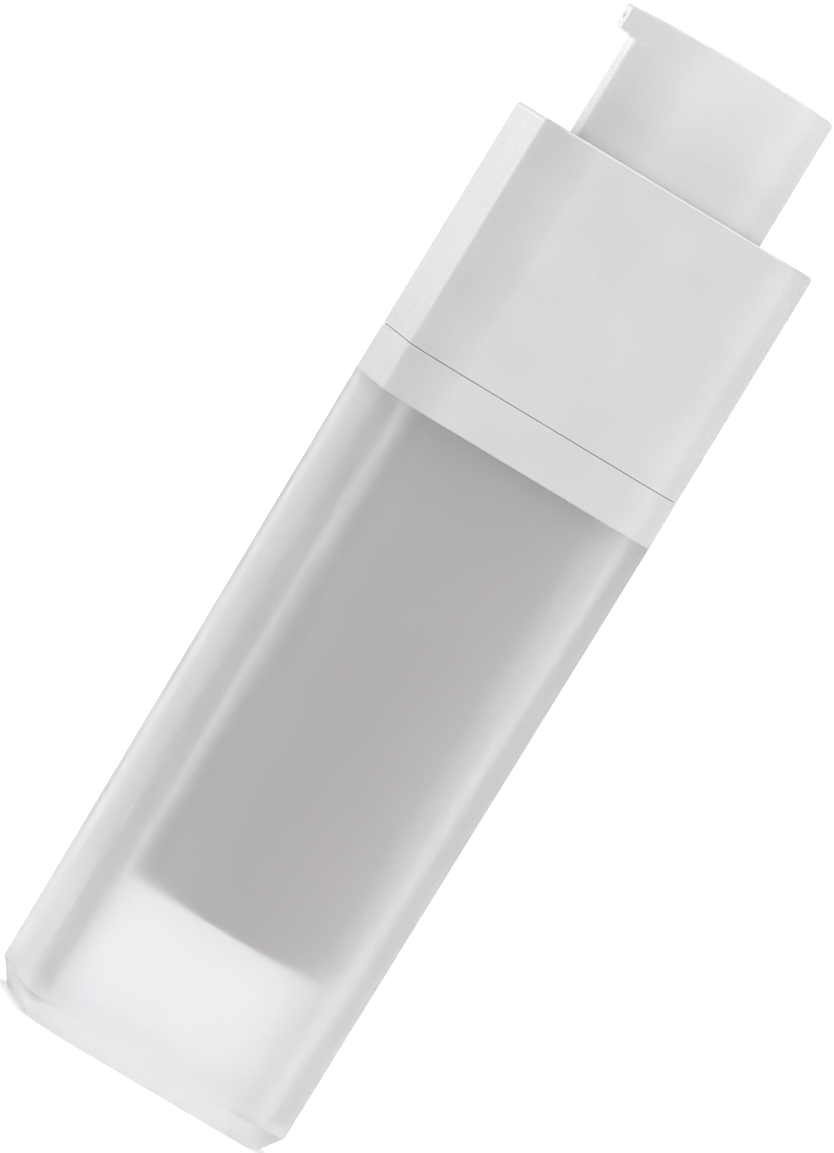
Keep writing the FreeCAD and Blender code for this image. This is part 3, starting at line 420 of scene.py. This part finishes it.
def make_room():
    """The room that lights the bottle and shows in its gloss: horizon, its shaded part, and the screen."""
    world = bpy.data.worlds.new("studio")
    world.use_nodes = True
    tree = world.node_tree
    tree.nodes.clear()
    place = add(tree, "ShaderNodeTexCoord")
    shaded = towards(tree, place, SHADE_AZIMUTH, SHADE_INSIDE, SHADE_OUTSIDE,
                     near=SHADE_LIGHT, far=HORIZON_LIGHT)
    screen = towards(tree, place, SCREEN_AZIMUTH, SCREEN_INSIDE, SCREEN_OUTSIDE,
                     near=SCREEN_LIGHT, far=0.0)
    horizon = add(tree, "ShaderNodeMath", links=[(0, shaded, "Result"), (1, screen, "Result")],
                  operation="MAXIMUM")
    parts = add(tree, "ShaderNodeSeparateXYZ", links=[("Vector", place, "Generated")])
    rise = add(tree, "ShaderNodeMath", links=[(0, parts, "Z")], operation="ABSOLUTE")
    level = add(tree, "ShaderNodeMapRange", links=[("Value", rise, "Value"), ("To Min", horizon, "Value")],
                inputs=[("From Min", HORIZON_SPREAD), ("From Max", HORIZON_SPREAD + HORIZON_FADE),
                        ("To Max", ROOM_LIGHT)],
                interpolation_type="SMOOTHSTEP")
    sky = add(tree, "ShaderNodeBackground", links=[("Strength", level, "Result")],
              inputs=[("Color", WHITE_LIGHT)])
    add(tree, "ShaderNodeOutputWorld", links=[("Surface", sky, "Background")])
    bpy.context.scene.world = world


def softbox(name, place, faces, width, height, watts):
    """A rectangular studio light, which faces a height on the bottle's axis and doesn't show itself."""
    lamp = bpy.data.lights.new(name, "AREA")
    lamp.shape = "RECTANGLE"
    lamp.size = width
    lamp.size_y = height
    lamp.energy = watts
    holder = bpy.data.objects.new(name, lamp)
    holder.location = place
    holder.rotation_mode = "QUATERNION"
    holder.rotation_quaternion = (Vector((0.0, 0.0, faces)) - place).to_track_quat("-Z", "Y")
    holder.visible_camera = False
    bpy.context.scene.collection.objects.link(holder)


def hang_lights():
    """One wide light overhead, and softboxes round the bottle."""
    ceiling = bpy.data.lights.new("ceiling", "SUN")
    ceiling.energy = CEILING_LIGHT
    ceiling.angle = math.radians(CEILING_SPREAD)
    bpy.context.scene.collection.objects.link(bpy.data.objects.new("ceiling", ceiling))
    # These two light the broad side, and the cup's right half.
    softbox("front_right", around(118.0, distance=1.1, height=0.3), faces=0.07,
            width=0.9, height=0.7, watts=2.5)
    softbox("right_side", around(150.0, distance=0.9, height=0.15), faces=0.07,
            width=0.4, height=0.4, watts=0.8)
    # These two graze the nozzle's side, and show as the light strip down the edge of collar and head.
    softbox("left_edge", around(-76.0, distance=0.9, height=0.137), faces=0.1,
            width=0.4, height=0.125, watts=0.075)
    softbox("left_top", around(-82.0, distance=0.9, height=0.165), faces=0.13,
            width=0.4, height=0.07, watts=0.06)
    # This one softens the shade low on the head.
    softbox("head_fill", around(25.0, distance=0.4, height=0.3), faces=0.127,
            width=0.3, height=0.15, watts=0.3)


def place_camera():
    """The photograph's camera: nearly level, a long way off and rolled by the bottle's lean."""
    data = bpy.data.cameras.new("photo_camera")
    data.sensor_width = SENSOR_MM
    data.lens = SENSOR_MM * CAMERA_DISTANCE / (PHOTO_HEIGHT / PIXELS_PER_MM * MM)
    data.clip_start = CLIP_NEAR
    data.clip_end = CLIP_FAR
    camera = bpy.data.objects.new("photo_camera", data)
    bpy.context.scene.collection.objects.link(camera)
    turn = math.radians(CAMERA_AZIMUTH)
    across = Vector((math.cos(turn), math.sin(turn), 0.0)) * AIM_ACROSS
    aim = across + Vector((0.0, 0.0, AIM_HEIGHT))
    place = around(CAMERA_AZIMUTH, CAMERA_DISTANCE, CAMERA_HEIGHT) + across
    upright = (aim - place).to_track_quat("-Z", "Y").to_matrix().to_4x4()
    camera.matrix_world = Matrix.Translation(place) @ upright @ Matrix.Rotation(math.radians(LEAN), 4, "Z")
    bpy.context.scene.camera = camera


dress_nodes()
make_floor()
make_room()
hang_lights()
place_camera()
bpy.context.scene.view_settings.view_transform = "Standard"
